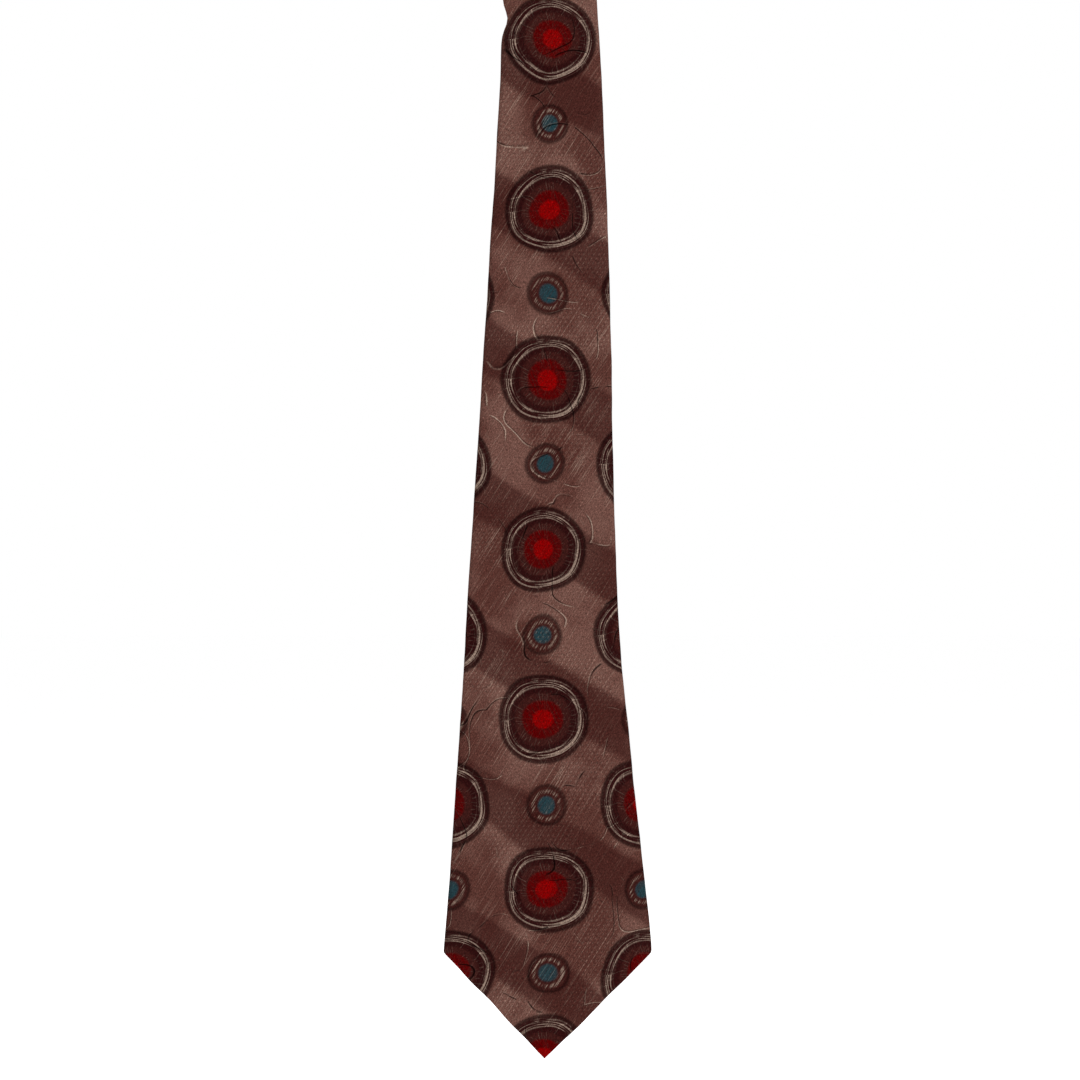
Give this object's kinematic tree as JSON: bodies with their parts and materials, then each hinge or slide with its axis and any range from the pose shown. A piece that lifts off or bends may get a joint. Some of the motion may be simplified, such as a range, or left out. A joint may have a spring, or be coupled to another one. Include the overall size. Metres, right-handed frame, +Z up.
{
  "type": "necktie",
  "caption": "Wide lined necktie in printed silk, folded over a hanger rod, with pointed blade, slimmer tail, keeper loop and blank labels.",
  "frame": {"origin": "on the axis of the round rod that the neck is folded over, midway across the neck's width", "axes": "+Z up, +X across the tie along the rod, and the show face of the front blade looks along -Y"},
  "size_m": [0.098, 0.024, 0.757],
  "materials": {
    "shell_silk": "printed jacquard silk, satin sheen",
    "interlining_canvas": "brushed wool canvas",
    "tipping_lining": "plain acetate lining, satin",
    "woven_label": "woven satin, blank",
    "printed_label_tape": "smooth tape, blank",
    "sewing_thread": "twisted thread"
  },
  "bodies": {
    "neck": {"neck_shell": "shell_silk", "neck_interlining": "interlining_canvas", "neck_slip_stitches": "sewing_thread"},
    "blade": {"blade_shell": "shell_silk", "blade_interlining": "interlining_canvas", "blade_tipping": "tipping_lining", "blade_hem_stitches": "sewing_thread", "blade_slip_stitches": "sewing_thread", "blade_bar_tack": "sewing_thread", "front_seam_thread": "sewing_thread", "maker_label": "woven_label", "label_stitches": "sewing_thread", "keeper_loop": "shell_silk", "keeper_stitches": "sewing_thread", "care_label_stitches": "sewing_thread"},
    "tail": {"tail_shell": "shell_silk", "tail_interlining": "interlining_canvas", "tail_tipping": "tipping_lining", "tail_hem_stitches": "sewing_thread", "tail_slip_stitches": "sewing_thread", "tail_bar_tack": "sewing_thread", "rear_seam_thread": "sewing_thread"},
    "care_label": {"care_label": "printed_label_tape"}
  },
  "joints": [
    {"name": "blade_swing", "type": "hinge", "parent": "neck", "child": "blade", "pos_m": [0, -0.01, -0.06], "axis": [-1, 0, 0], "range_deg": [0, 75]},
    {"name": "tail_swing", "type": "hinge", "parent": "neck", "child": "tail", "pos_m": [0, 0.01, -0.19], "axis": [1, 0, 0], "range_deg": [0, 60]},
    {"name": "care_label_flip", "type": "hinge", "parent": "blade", "child": "care_label", "pos_m": [0.0305, -0.00735, -0.593], "axis": [1, 0, 0], "range_deg": [0, 150]}
  ]
}
